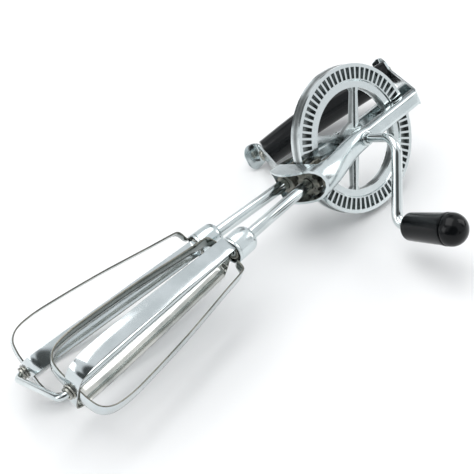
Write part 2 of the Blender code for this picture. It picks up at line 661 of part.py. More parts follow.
def blade(name, turn, drop, parent):
    path = blade_path(drop)
    widths = []
    for p in path:
        inside = min(max((p.y - LEVEL + 5.0) / 4.0, 0.0), 1.0)
        widths.append(BLADE_WIDTH * (1 - inside) + 3.8 * inside)
    c, s = math.cos(turn), math.sin(turn)
    place = Matrix(((c, 0, s, 0), (s, 0, -c, 0), (0, 1, 0, 0), (0, 0, 0, 1)))
    obj = ribbon(name, path, widths, BLADE_THICK, parent, STEEL, matrix=place)
    hole = EYELET + GAP
    top = (HUB_LEVEL + 3.0)
    cut(obj, turned("cut_eye_" + name, ((0, top), (hole, top), (hole, top - 8.0), (0, top - 8.0)), parent, None, 24))
    return obj


EYELET = 2.6
STACK = BLADE_THICK + GAP
for name, side in SIDES:
    axis = shafts[name]
    pinion("pinion_" + name, axis)
    washer("thrust_washer_" + name, 4.4, ROD_BORE, PINION_HALF + GAP, PINION_HALF + GAP + 0.9, axis, STEEL)
    turned("shaft_tube_" + name, ((TUBE_RADIUS, PINION_HALF - 0.3), (TUBE_RADIUS, LEVEL + 0.4),
                                  (TUBE_BORE, LEVEL + 0.4), (TUBE_BORE, PINION_HALF - 0.3)), axis, CHROME, 24, True)
    top = LEVEL + FERRULE_LENGTH
    wall = FERRULE_RADIUS - 0.6
    cup = [(4.4, top), (5.6, top - 0.4), (6.4, top - 1.4), (FERRULE_RADIUS, top - 3.2), (FERRULE_RADIUS, LEVEL),
           (wall, LEVEL), (wall, top - 3.0), (4.6, top - 1.1), (TUBE_HOLE, top - 1.1), (TUBE_HOLE, top)]
    turned("ferrule_" + name, cup, axis, CHROME, 24, True)
    washer("blade_core_" + name, 4.5, TUBE_HOLE, LEVEL + 0.6, LEVEL + 10.4, axis, STEEL)
    blade("blade_loop_a_" + name, BLADE_TURN[name], 0.0, axis)
    blade("blade_loop_b_" + name, BLADE_TURN[name] + math.pi / 2, STACK, axis)
    flange = BLADE_THICK * 0.5 + GAP
    upper = HUB_LEVEL + flange
    under = HUB_LEVEL - STACK - flange
    eyelet = [(EYELET + 1.0, upper + 0.6), (EYELET + 1.0, upper), (EYELET, upper), (EYELET, under),
              (EYELET + 1.0, under), (EYELET + 1.0, under - 0.6),
              (ROD_BORE, under - 0.6), (ROD_BORE, upper + 0.6)]
    turned("hub_eyelet_" + name, eyelet, axis, STEEL, 20, True)
    washer("hub_stop_" + name, 3.0, ROD_BORE, under - 1.9, under - 0.9, axis, STEEL)

# fixed guide rod: up one shaft, across the bottom, up the other
ROD_TOP = 8.6
rod_corner = HUB_LEVEL - 6.7
front_axis = shaft_axes(-1)
rear_axis = shaft_axes(1)


def on_axis(axes, height):
    return (axes @ Vector((0.0, 0.0, height * MM))) / MM


front_low = on_axis(front_axis, rod_corner)
rear_low = on_axis(rear_axis, rod_corner)
rod = [on_axis(front_axis, ROD_TOP)]
rod += bend(front_low, rod[0], rear_low, 4.0, 6)
rod += bend(rear_low, front_low, on_axis(rear_axis, ROD_TOP), 4.0, 6)
rod.append(on_axis(rear_axis, ROD_TOP))
tube_mesh("guide_rod", rod, [ROD_RADIUS] * len(rod), rest, CHROME, 16)

# cast blocks that hold the rod ends inside the arms
for name, side in SIDES:
    outline = [(-29.4, side * 4.6), (-29.4, side * 16.4), (-22.8, side * 14.0), (-22.8, side * 4.6)]
    block = prism("rod_anchor_" + name, outline, -3.2, 3.2, rest, PINION)
    cut(block, turned("cut_anchor_" + name, ((0, 16), (ROD_BORE, 16), (ROD_BORE, -4), (0, -4)), shafts[name],
                      None, 24))

# ---------------------------------------------------------------- resting pose
# It lies on the thumb rest, the wheel rim and the rear beater: the widest hull facet facing down.
LIE_ROLL = math.radians(25.0)
LIE_WITHIN = math.radians(12.0)
bpy.context.view_layer.update()
graph = bpy.context.evaluated_depsgraph_get()
hull = bmesh.new()
for obj in assembly.all_objects:
    if obj.type == "MESH":
        for vert in obj.evaluated_get(graph).data.vertices:
            hull.verts.new(obj.matrix_world @ vert.co)
points = [vert.co.copy() for vert in hull.verts]
bmesh.ops.convex_hull(hull, input=hull.verts)
hull.normal_update()
nominal = Vector((0.0, math.sin(LIE_ROLL), -math.cos(LIE_ROLL)))
centre = sum(points, Vector()) / len(points)
facets = []
for facet in hull.faces:
    normal = facet.normal.copy()
    if normal.dot(facet.calc_center_median() - centre) < 0:
        normal.negate()
    if normal.angle(nominal) < LIE_WITHIN:
        facets.append((facet.calc_area(), normal))
hull.free()
down = max(facets, key=lambda entry: entry[0])[1]
up = -down
ahead = (Vector((1.0, 0.0, 0.0)) - up * up.x).normalized()
aside = up.cross(ahead)
lie = Matrix((ahead, aside, up))
laid = [lie @ point for point in points]
low = Vector([min(point[i] for point in laid) for i in range(3)])
high = Vector([max(point[i] for point in laid) for i in range(3)])
middle = (low + high) / 2
rest.matrix_world = Matrix.Translation((-middle.x, -middle.y, -low.z)) @ lie.to_4x4()
bpy.context.view_layer.update()
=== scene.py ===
# %% [markdown]
# # A hand-cranked egg beater
# The egg beater lies on its side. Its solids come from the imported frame, which fixes every size and place.
# Here each visible piece is modelled again at a finer grain, or kept and given a finish.

# %% Load the frame
import json
import math

import bpy
from mathutils import Matrix, Vector


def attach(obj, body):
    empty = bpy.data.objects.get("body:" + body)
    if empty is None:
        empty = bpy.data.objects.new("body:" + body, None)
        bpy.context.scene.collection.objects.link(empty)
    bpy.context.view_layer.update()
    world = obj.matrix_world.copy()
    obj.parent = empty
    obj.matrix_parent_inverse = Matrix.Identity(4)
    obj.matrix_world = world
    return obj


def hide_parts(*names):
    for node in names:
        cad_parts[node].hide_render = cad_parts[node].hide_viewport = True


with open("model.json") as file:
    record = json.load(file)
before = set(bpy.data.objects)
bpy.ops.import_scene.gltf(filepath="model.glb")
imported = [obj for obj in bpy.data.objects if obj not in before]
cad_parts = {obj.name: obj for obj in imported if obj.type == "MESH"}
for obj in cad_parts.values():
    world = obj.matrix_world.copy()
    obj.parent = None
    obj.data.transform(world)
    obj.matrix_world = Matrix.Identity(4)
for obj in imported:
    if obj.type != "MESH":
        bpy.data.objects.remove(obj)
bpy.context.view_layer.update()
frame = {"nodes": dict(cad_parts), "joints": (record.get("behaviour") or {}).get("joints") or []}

# %% [markdown]
# The pieces are drawn in the maker's own axes: X runs along the shafts towards the grip, Y goes away from
# the crank, and Z lies across the frame. The crank and beater joints say where those axes are.

# %% The maker's axes
MM = 0.001
joints = {joint["name"]: joint for joint in frame["joints"]}


def joint_line(name):
    return Vector(joints[name]["pos_m"]), Vector(joints[name]["axis"]).normalized()


axle_place, axle_way = joint_line("crank_turn")
front_place, front_way = joint_line("front_beater_spin")
rear_place, rear_way = joint_line("rear_beater_spin")
ahead = (front_way + rear_way).normalized()
ahead = (ahead - axle_way * ahead.dot(axle_way)).normalized()
across = axle_way.cross(ahead)


def axes(x, y, z, place):
    """A matrix with the three given directions as its local axes."""
    rows = [[x[i], y[i], z[i], place[i]] for i in range(3)]
    return Matrix(rows + [[0.0, 0.0, 0.0, 1.0]])


DESIGN = axes(ahead, -axle_way, across, axle_place)
CRANK_TURN = math.radians(60.0)
DRIVE = axes(ahead, across, axle_way, axle_place) @ Matrix.Rotation(CRANK_TURN, 4, "Z")
CRANK_ARM = 44.0
KNOB = DRIVE @ Matrix.Translation((-CRANK_ARM * MM, 0.0, 0.0))
SHAFTS = {"front": axes(across, front_way.cross(across), front_way, front_place),
          "rear": axes(across, rear_way.cross(across), rear_way, rear_place)}
print("shafts lean", round(math.degrees(front_way.angle(rear_way)), 2), "degrees apart")

# %% [markdown]
# Every piece goes through the same few steps. It is picked alone, its place is moved into its mesh, its
# faces are turned outwards, its sharp edges are rounded, and it is booked onto the body that carries it.
# Real metal has no knife edges, so nearly every piece gets a small bevel that catches the light.

# %% Helpers for every piece
MERGE_WITHIN = 0.002
SMOOTH_BELOW = 38.0


def drop_selection():
    if bpy.context.object and bpy.context.object.mode != "OBJECT":
        bpy.ops.object.mode_set(mode="OBJECT")
    bpy.ops.object.select_all(action="DESELECT")


def pick(obj):
    """Makes one object the only selected and active one."""
    drop_selection()
    obj.select_set(True)
    bpy.context.view_layer.objects.active = obj


def choose_points(obj, test):
    """Selects only the points that pass a test, in object mode."""
    for kind in (obj.data.polygons, obj.data.edges, obj.data.vertices):
        kind.foreach_set("select", [False] * len(kind))
    for point in obj.data.vertices:
        point.select = test(point)


def apply_modifiers(obj):
    pick(obj)
    for modifier in list(obj.modifiers):
        bpy.ops.object.modifier_apply(modifier=modifier.name)


def settle(obj, matrix=None):
    """The object's place moves into its mesh, and then the whole piece moves to its axes."""
    pick(obj)
    bpy.ops.object.transform_apply(location=True, rotation=True, scale=True)
    if matrix is not None:
        obj.matrix_world = matrix
        bpy.ops.object.transform_apply(location=True, rotation=True, scale=True)


def outward(obj):
    """Joins points that meet and turns every face outwards."""
    pick(obj)
    bpy.ops.object.mode_set(mode="EDIT")
    bpy.ops.mesh.select_all(action="SELECT")
    bpy.ops.mesh.remove_doubles(threshold=MERGE_WITHIN * MM)
    bpy.ops.mesh.normals_make_consistent(inside=False)
    bpy.ops.object.mode_set(mode="OBJECT")


def finish_piece(obj, body, finish, nodes, bevel=0.0, segments=2, angle=32.0):
    """Rounds the sharp edges, smooths the rest, and books the piece onto its body."""
    if bevel:
        edge = obj.modifiers.new("edge", "BEVEL")
        edge.width = bevel * MM
        edge.segments = segments
        edge.limit_method = "ANGLE"
        edge.angle_limit = math.radians(angle)
        edge.use_clamp_overlap = True
        apply_modifiers(obj)
    pick(obj)
    bpy.ops.object.shade_smooth_by_angle(angle=math.radians(SMOOTH_BELOW))
    if finish is not None:
        obj.data.materials.clear()
        obj.data.materials.append(finish)
    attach(obj, body)
    if nodes:
        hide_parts(*nodes)
    print(obj.name, len(obj.data.polygons), "faces on", body)
    return obj

# %% [markdown]
# ## Finishes
# Every finish starts from one shader and gets its own grain. Bright plating is nearly a mirror: what makes
# it look real is a little unevenness in its gloss, a very shallow ripple, and hairline rubbing marks.

# %% Building blocks for finishes
def new_finish(name, colour, metallic, roughness):
    """A named material, with its shader set and its pattern place taken from the object's own axes."""
    mat = bpy.data.materials.new(name)
    mat.use_nodes = True
    tree = mat.node_tree
    shader = tree.nodes["Principled BSDF"]
    shader.inputs["Base Color"].default_value = (*colour, 1.0)
    shader.inputs["Metallic"].default_value = metallic
    shader.inputs["Roughness"].default_value = roughness
    place = tree.nodes.new("ShaderNodeTexCoord")
    return mat, tree, shader, place.outputs["Object"]


def grain(tree, place, scale, detail=3.0, stretch=None):
    """Cloudy noise, stretched along one axis where the marks run one way."""
    if stretch:
        mapping = tree.nodes.new("ShaderNodeMapping")
        mapping.vector_type = "TEXTURE"
        mapping.inputs["Scale"].default_value = stretch
        tree.links.new(place, mapping.inputs["Vector"])
        place = mapping.outputs["Vector"]
    noise = tree.nodes.new("ShaderNodeTexNoise")
    noise.inputs["Scale"].default_value = scale
    noise.inputs["Detail"].default_value = detail
    tree.links.new(place, noise.inputs["Vector"])
    return noise.outputs["Fac"]


def ramp(tree, value, stops):
    """Colours a value by stops, each a position and a colour."""
    node = tree.nodes.new("ShaderNodeValToRGB")
    node.color_ramp.elements[0].position = stops[0][0]
    node.color_ramp.elements[0].color = (*stops[0][1], 1.0)
    node.color_ramp.elements[1].position = stops[-1][0]
    node.color_ramp.elements[1].color = (*stops[-1][1], 1.0)
    for position, colour in stops[1:-1]:
        element = node.color_ramp.elements.new(position)
        element.color = (*colour, 1.0)
    tree.links.new(value, node.inputs["Fac"])
    return node.outputs["Color"]


def spread(tree, value, low, high, start=0.3, end=0.7):
    """Maps the middle of a noise onto a range of roughness or height."""
    node = tree.nodes.new("ShaderNodeMapRange")
    node.inputs["From Min"].default_value = start
    node.inputs["From Max"].default_value = end
    node.inputs["To Min"].default_value = low
    node.inputs["To Max"].default_value = high
    tree.links.new(value, node.inputs["Value"])
    return node.outputs["Result"]


def bumped(tree, shader, layers):
    """Stacks shallow reliefs, given as (height, distance in mm, strength)."""
    normal = None
    for height, distance, strength in layers:
        bump = tree.nodes.new("ShaderNodeBump")
        bump.inputs["Distance"].default_value = distance * MM
        bump.inputs["Strength"].default_value = strength
        tree.links.new(height, bump.inputs["Height"])
        if normal is not None:
            tree.links.new(normal, bump.inputs["Normal"])
        normal = bump.outputs["Normal"]
    tree.links.new(normal, shader.inputs["Normal"])

# %% [markdown]
# The frame, tubes and rods are plated and the blades are polished strip. All of them are one recipe at
# another brightness: cloudy colour, uneven gloss, a slow ripple, and fine rubbing along the piece. The
# cut edges of a strip never saw the polishing wheel, so theirs are darker and duller. The inside of the
# first loop on each beater is painted dark grey-green as painted shade, standing in for a dark reflection;
# the inside of the other loop is only a little darker and yellower than its outside.

# %% Bright plating and polished strip
def bright_metal(name, light, dark, gloss, dull, ripple):
    """Plated or polished metal: gloss and dull are its least and most roughness, ripple is in mm."""
    mat, tree, shader, place = new_finish(name, light, 1.0, gloss)
    clouds = grain(tree, place, 55.0, 4.0)
    shade = ramp(tree, clouds, ((0.30, dark), (0.62, light)))
    tree.links.new(shade, shader.inputs["Base Color"])
    smears = grain(tree, place, 160.0, 5.0)
    tree.links.new(spread(tree, smears, gloss, dull, 0.35, 0.75), shader.inputs["Roughness"])
    wave = grain(tree, place, 130.0, 1.0)
    rubbed = grain(tree, place, 900.0, 2.0, stretch=(14.0, 1.0, 1.0))
    bumped(tree, shader, ((wave, ripple, 0.5), (rubbed, 0.01, 0.12)))
    return mat


INSIDE = bright_metal("strip_inside", (0.66, 0.66, 0.62), (0.40, 0.42, 0.40), 0.07, 0.15, 0.04)
# A dark copy of the strip finish: painted shade for the inside of the first loop on each beater.
SHADED = bright_metal("strip_shaded_side", (0.24, 0.27, 0.26), (0.09, 0.11, 0.105), 0.10, 0.20, 0.04)
SATIN = bright_metal("satin_plating", (0.66, 0.72, 0.73), (0.54, 0.60, 0.61), 0.16, 0.30, 0.06)
CUT_EDGE = bright_metal("strip_cut_edge", (0.22, 0.21, 0.18), (0.07, 0.075, 0.065), 0.24, 0.40, 0.08)
PLATING = bright_metal("bright_plating", (0.66, 0.71, 0.715), (0.50, 0.55, 0.55), 0.07, 0.17, 0.08)
STRIP = bright_metal("polished_strip", (0.66, 0.71, 0.725), (0.52, 0.57, 0.58), 0.09, 0.20, 0.05)
ROD = bright_metal("drawn_rod", (0.70, 0.75, 0.755), (0.54, 0.59, 0.595), 0.07, 0.16, 0.05)
print("bright finishes:", [mat.name for mat in (PLATING, SATIN, STRIP, INSIDE, SHADED, CUT_EDGE, ROD)])

# %% [markdown]
# The wheel is a die casting under the same plating. The mould leaves a slight pebble, and the bottoms of
# the tooth slots are painted darker as painted shade: the nearer the wheel's middle plane, the darker the
# metal.
# The pinions and the blocks behind them were never plated: they are grey, blotchy and rough.

# %% Cast metals
SLOT_FLOOR = 0.8
TOOTH_FACE = 3.2


def depth_from_axle_plane(tree, place):
    """Distance from the wheel's middle plane, in metres."""
    centred = tree.nodes.new("ShaderNodeVectorMath")
    centred.operation = "SUBTRACT"
    centred.inputs[1].default_value = axle_place
    tree.links.new(place, centred.inputs[0])
    dot = tree.nodes.new("ShaderNodeVectorMath")
    dot.operation = "DOT_PRODUCT"
    dot.inputs[1].default_value = axle_way
    tree.links.new(centred.outputs["Vector"], dot.inputs[0])
    size = tree.nodes.new("ShaderNodeMath")
    size.operation = "ABSOLUTE"
    tree.links.new(dot.outputs["Value"], size.inputs[0])
    return size.outputs["Value"]


def cast_wheel_finish():
    mat, tree, shader, place = new_finish("plated_casting", (0.82, 0.84, 0.83), 1.0, 0.16)
    # Painted shade: the nearer a point lies to the wheel's middle plane, down in the tooth slots, the darker
    # and rougher the metal.
    depth = spread(tree, depth_from_axle_plane(tree, place), 0.0, 1.0, SLOT_FLOOR * MM, TOOTH_FACE * MM)
    clouds = grain(tree, place, 240.0, 5.0)
    mixed = tree.nodes.new("ShaderNodeMath")
    mixed.operation = "MULTIPLY_ADD"
    mixed.inputs[1].default_value = 0.35
    tree.links.new(clouds, mixed.inputs[0])
    tree.links.new(depth, mixed.inputs[2])
    shade = ramp(tree, mixed.outputs["Value"],
                 ((0.12, (0.20, 0.215, 0.215)), (0.45, (0.46, 0.495, 0.495)), (0.95, (0.68, 0.73, 0.735))))
    tree.links.new(shade, shader.inputs["Base Color"])
    tree.links.new(spread(tree, mixed.outputs["Value"], 0.38, 0.11, 0.2, 1.1), shader.inputs["Roughness"])
    pebble = grain(tree, place, 700.0, 3.0)
    swell = grain(tree, place, 160.0, 1.0)
    bumped(tree, shader, ((swell, 0.10, 0.5), (pebble, 0.03, 0.35)))
    return mat


def bare_cast_finish(name, light, dark, rough):
    """Unplated metal, blotched between a light and a dark grey."""
    mat, tree, shader, place = new_finish(name, light, 0.85, rough)
    blotch = grain(tree, place, 420.0, 6.0)
    tree.links.new(ramp(tree, blotch, ((0.32, dark), (0.66, light))), shader.inputs["Base Color"])
    tree.links.new(spread(tree, blotch, rough - 0.1, rough + 0.14), shader.inputs["Roughness"])
    pebble = grain(tree, place, 1500.0, 4.0)
    bumped(tree, shader, ((blotch, 0.08, 0.5), (pebble, 0.03, 0.5)))
    return mat


CASTING = cast_wheel_finish()
BARE = bare_cast_finish("bare_casting", (0.26, 0.255, 0.215), (0.055, 0.058, 0.05), 0.36)
FITTING = bare_cast_finish("dull_fitting", (0.50, 0.50, 0.46), (0.20, 0.20, 0.175), 0.26)
print("cast finishes:", CASTING.name, BARE.name, FITTING.name)

# %% [markdown]
# The grip and the knob are black moulded plastic, glossy but handled: fine scuffs make the gloss uneven,
# and a thin coat over the black gives the sharp highlights.

# %% Black moulded plastic
def moulded_plastic():
    mat, tree, shader, place = new_finish("black_moulding", (0.004, 0.005, 0.006), 0.0, 0.2)
    tint = grain(tree, place, 60.0, 3.0)
    tree.links.new(ramp(tree, tint, ((0.35, (0.0025, 0.003, 0.0035)), (0.7, (0.006, 0.007, 0.008)))),
                   shader.inputs["Base Color"])
    scuff = grain(tree, place, 420.0, 6.0)
    tree.links.new(spread(tree, scuff, 0.15, 0.24, 0.35, 0.75), shader.inputs["Roughness"])
    shader.inputs["Specular IOR Level"].default_value = 0.16
    shader.inputs["Coat Weight"].default_value = 0.08
    shader.inputs["Coat Roughness"].default_value = 0.06
    fine = grain(tree, place, 1400.0, 2.0)
    bumped(tree, shader, ((tint, 0.25, 0.5), (fine, 0.008, 0.15)))
    return mat


BLACK = moulded_plastic()
print("plastic:", BLACK.name)

# %% [markdown]
# ## Turned pieces
# Most of the small metal pieces and the knob were turned or drawn round. A ring is drawn at the first
# corner of the outline, then pulled and scaled from corner to corner, and its ends are bridged.

# %% A helper that turns an outline
def turned(name, outline, steps=64, closed=True):
    """Turns an outline of (radius, height) corners; closed makes a ring, and otherwise the ends are filled."""
    drop_selection()
    radius, height = outline[0]
    bpy.ops.mesh.primitive_circle_add(vertices=steps, radius=radius * MM, location=(0.0, 0.0, height * MM))
    obj = bpy.context.object
    obj.name = name
    bpy.ops.object.mode_set(mode="EDIT")
    bpy.ops.mesh.select_mode(type="VERT")
    bpy.ops.mesh.select_all(action="SELECT")
    for (r0, z0), (r1, z1) in zip(outline, outline[1:]):
        bpy.ops.mesh.extrude_region_move(TRANSFORM_OT_translate={"value": (0.0, 0.0, (z1 - z0) * MM)})
        bpy.ops.transform.resize(value=(r1 / r0, r1 / r0, 1.0), center_override=(0.0, 0.0, 0.0))
    bpy.ops.mesh.select_all(action="DESELECT")
    bpy.ops.mesh.select_non_manifold(extend=False)
    if closed:
        bpy.ops.mesh.bridge_edge_loops()
    else:
        bpy.ops.mesh.edge_face_add()
    bpy.ops.object.mode_set(mode="OBJECT")
    settle(obj)
    outward(obj)
    return obj

# %% [markdown]
# The knob is a tapered body with a domed end of its own, and a fine seam where they meet. Its near end is
# rounded, and it runs on the crank's spindle with a little play. Body and dome are two turned outlines, so
# the seam is a real groove that shows as a thin dark ring.

# %% Knob
KNOB_START = 39.4
KNOB_LENGTH = 37.0
KNOB_SMALL = 7.1
KNOB_BIG = 8.2
SPINDLE_BORE = 2.5
KNOB_SEAM = KNOB_START + 27.5
KNOB_TOP = KNOB_START + KNOB_LENGTH
NEAR_END = KNOB_START + 0.6
NEAR_ROUND = 2.2
SOCKET_RADIUS = 5.2
SOCKET_DEPTH = 4.0

body_outline = [(SPINDLE_BORE, KNOB_SEAM - SOCKET_DEPTH), (SPINDLE_BORE, NEAR_END)]
for step in range(7):
    bend = math.pi / 2 * step / 6
    body_outline.append((KNOB_SMALL - NEAR_ROUND * (1 - math.sin(bend)),
                         NEAR_END + NEAR_ROUND * (1 - math.cos(bend))))
body_outline += [(KNOB_BIG - 0.3, KNOB_SEAM - 3.4), (KNOB_BIG, KNOB_SEAM - 1.4), (KNOB_BIG, KNOB_SEAM - 0.5),
                 (KNOB_BIG - 0.35, KNOB_SEAM - 0.15), (KNOB_BIG - 0.6, KNOB_SEAM),
                 (SOCKET_RADIUS, KNOB_SEAM), (SOCKET_RADIUS, KNOB_SEAM - SOCKET_DEPTH)]
knob_body = turned("knob_body", body_outline, 72)
settle(knob_body, KNOB)
finish_piece(knob_body, "knob", BLACK, ["crank_knob"])

DOME = 8.0
NEARLY_TOP = 0.985
dome_outline = [(KNOB_BIG - 0.6, KNOB_SEAM + 0.3), (KNOB_BIG - 0.3, KNOB_SEAM + 0.4),
                (KNOB_BIG, KNOB_SEAM + 0.8)]
for step in range(15):
    bend = math.pi / 2 * step / 14 * NEARLY_TOP
    dome_outline.append((KNOB_BIG * math.cos(bend), KNOB_TOP - DOME + DOME * math.sin(bend)))
knob_dome = turned("knob_dome", dome_outline, 72, closed=False)
settle(knob_dome, KNOB)
finish_piece(knob_dome, "knob", BLACK, ["knob_end_cap"])

# %% [markdown]
# The axle turns in two flanged collars set in the frame's arms. A plain sleeve on each side keeps the wheel
# in the middle, and a turned cap holds the axle's far end. They are small lathe work, so the outline helper
# makes them all, and the second of each pair is the first one turned end for end.

# %% Sleeves, collars and cap on the axle
ARM_HALF_Y = 10.0
SHEET = 1.2
GAP = 0.3
HUB_HALF = 4.9
AXLE_BORE = 2.5
SLEEVE_RADIUS = 3.0
COLLAR_RADIUS = 3.8
COLLAR_END = ARM_HALF_Y + 1.6
CAP_RADIUS = 4.1
CAP_START = COLLAR_END + GAP
CAP_END = CAP_START + 2.0


def ring(name, outer, inner, low, high, matrix, body, finish, node, bevel=0.12):
    """A plain washer or sleeve between two heights."""
    obj = turned(name, [(inner, low), (outer, low), (outer, high), (inner, high)], 48)
    settle(obj, matrix)
    return finish_piece(obj, body, finish, [node], bevel)


FLIP = Matrix.Rotation(math.pi, 4, "X")
for side, turn in (("front", Matrix.Identity(4)), ("rear", FLIP)):
    ring("sleeve_" + side, SLEEVE_RADIUS, AXLE_BORE, HUB_HALF + GAP, ARM_HALF_Y - SHEET - GAP, DRIVE @ turn,
         "drive", FITTING, "hub_spacer_" + side)
    flange = [(AXLE_BORE, ARM_HALF_Y - SHEET), (SLEEVE_RADIUS, ARM_HALF_Y - SHEET),
              (SLEEVE_RADIUS, ARM_HALF_Y + GAP), (COLLAR_RADIUS, ARM_HALF_Y + GAP),
              (COLLAR_RADIUS, COLLAR_END - 0.4), (COLLAR_RADIUS - 0.15, COLLAR_END - 0.15),
              (COLLAR_RADIUS - 0.5, COLLAR_END), (AXLE_BORE, COLLAR_END)]
    collar = turned("axle_collar_" + side, flange, 48)
    settle(collar, DRIVE @ turn)
    finish_piece(collar, "frame", PLATING, ["axle_bush_" + side], 0.1)
cap_outline = [(AXLE_BORE, CAP_START), (CAP_RADIUS, CAP_START), (CAP_RADIUS, CAP_END - 1.3),
               (CAP_RADIUS - 0.2, CAP_END - 0.7), (CAP_RADIUS - 0.7, CAP_END - 0.25),
               (CAP_RADIUS - 1.2, CAP_END), (AXLE_BORE, CAP_END)]
axle_cap = turned("axle_cap", cap_outline, 48)
settle(axle_cap, DRIVE @ FLIP)
finish_piece(axle_cap, "drive", PLATING, ["axle_end_cap"], 0.08)

# %% [markdown]
# ## Bent rods
# The crank and the guide rod are drawn bar bent to shape. A path is drawn as a curve with round corners,
# given a round section, and then made a mesh, which is how someone at a bending bench would think of it.

# %% A helper that bends bar
def corner_arc(corner, start, finish, radius, count=10):
    """Points of a round bend at a corner, between the lines to a start and a finish."""
    corner, start, finish = Vector(corner), Vector(start), Vector(finish)
    first = (start - corner).normalized()
    last = (finish - corner).normalized()
    half = first.angle(last) / 2
    leg = radius / math.tan(half)
    centre = corner + (first + last).normalized() * (radius / math.sin(half))
    one = corner + first * leg - centre
    two = corner + last * leg - centre
    sweep = one.angle(two)
    return [centre + one * (math.sin((1 - i / count) * sweep) / math.sin(sweep))
            + two * (math.sin(i / count * sweep) / math.sin(sweep)) for i in range(count + 1)]


def bent_bar(name, points, radii, sides=8):
    """A round bar along a path, with its own radius at each point, in mm."""
    drop_selection()
    bpy.ops.curve.primitive_nurbs_path_add()
    obj = bpy.context.object
    obj.name = name
    curve = obj.data
    curve.splines.clear()
    spline = curve.splines.new("POLY")
    spline.points.add(len(points) - 1)
    for target, point, radius in zip(spline.points, points, radii):
        target.co = (*(Vector(point) * MM), 1.0)
        target.radius = radius
    curve.dimensions = "3D"
    curve.bevel_depth = MM
    curve.bevel_resolution = sides
    curve.use_fill_caps = True
    pick(obj)
    bpy.ops.object.convert(target="MESH")
    obj = bpy.context.object
    settle(obj)
    outward(obj)
    return obj

# %% [markdown]
# The axle, the crank arm and the knob's spindle are one rod. It is thin through the wheel, swells to the
# arm round its first bend, and is drawn down again past the second to carry the knob, so the path has a
# radius of its own at every point.

# %% Crank rod
AXLE_RADIUS = 2.2
ARM_RADIUS = 2.8
JOURNAL_RADIUS = AXLE_RADIUS + 0.1
CRANK_OUT = 32.0
AXLE_TAIL = -13.2
ARM_BEND = 8.5
KNOB_BEND = 6.0
BEND_STEPS = 10

crank_path = [Vector((0, 0, AXLE_TAIL)), Vector((0, 0, 9.0)), Vector((0, 0, 14.0))]
crank_path += corner_arc((0, 0, CRANK_OUT), (0, 0, 9.0), (-CRANK_ARM, 0, CRANK_OUT), ARM_BEND, BEND_STEPS)
crank_path += corner_arc((-CRANK_ARM, 0, CRANK_OUT), (0, 0, CRANK_OUT), (-CRANK_ARM, 0, KNOB_TOP),
                         KNOB_BEND, BEND_STEPS)
crank_path.append(Vector((-CRANK_ARM, 0, KNOB_START + 26.0)))
swelling = [i / BEND_STEPS for i in range(BEND_STEPS + 1)]
crank_radii = [AXLE_RADIUS, AXLE_RADIUS, JOURNAL_RADIUS]
crank_radii += [JOURNAL_RADIUS + (ARM_RADIUS - JOURNAL_RADIUS) * t for t in swelling]
crank_radii += [ARM_RADIUS + (AXLE_RADIUS - ARM_RADIUS) * max(0.0, t - 0.4) / 0.6 for t in swelling]
crank_radii.append(AXLE_RADIUS)
crank = bent_bar("crank_bar", crank_path, crank_radii, 10)
settle(crank, DRIVE)
finish_piece(crank, "drive", ROD, ["crank_rod"])

# %% [markdown]
# One bent rod carries both beaters: up inside the front shaft, across under the hubs, and up inside the
# rear shaft. It stands still while they spin on it. The two bends at the bottom are tight and in plain
# view, so they have more points.

# %% Guide rod that both beaters turn on
MESH_X = 34.0
HUB_X = 202.4
FERRULE_X = 103.4
STRETCH = 1.0 / math.cos(front_way.angle(rear_way) / 2)
HUB_LEVEL = (MESH_X - HUB_X) * STRETCH
LEVEL = (MESH_X - FERRULE_X) * STRETCH
ROD_RADIUS = 1.6
ROD_TOP = 8.6
ROD_LOW = HUB_LEVEL - 6.7
ROD_BEND = 4.0


def on_shaft(side, height):
    """A point on a shaft's own line, in mm."""
    return SHAFTS[side] @ Vector((0.0, 0.0, height * MM)) / MM


low_front = on_shaft("front", ROD_LOW)
low_rear = on_shaft("rear", ROD_LOW)
guide_path = [on_shaft("front", ROD_TOP)]
guide_path += corner_arc(low_front, guide_path[0], low_rear, ROD_BEND, 12)
guide_path += corner_arc(low_rear, low_front, on_shaft("rear", ROD_TOP), ROD_BEND, 12)
guide_path.append(on_shaft("rear", ROD_TOP))
guide = bent_bar("guide_bar", guide_path, [ROD_RADIUS] * len(guide_path), 8)
finish_piece(guide, "frame", ROD, ["guide_rod"])

# %% [markdown]
# ## Beaters
# Each beater has a tube, a ferrule pressed over the blade ends, and two long loops of polished strip that
# cross under the hub. A loop is one strip: an edge is drawn and pulled from point to point along it.

# %% A helper that bends strip
def smooth_line(points, per_span):
    """A smooth curve through every given point."""
    pts = [Vector(p) for p in points]
    pts = [pts[0] * 2 - pts[1]] + pts + [pts[-1] * 2 - pts[-2]]
    out = []
    for i in range(1, len(pts) - 2):
        a, b, c, d = pts[i - 1], pts[i], pts[i + 1], pts[i + 2]
        for k in range(per_span):
            t = k / per_span
            out.append(0.5 * (2 * b + (c - a) * t + (2 * a - 5 * b + 4 * c - d) * t ** 2
                              + (3 * b - a - 3 * c + d) * t ** 3))
    out.append(pts[-2])
    return out


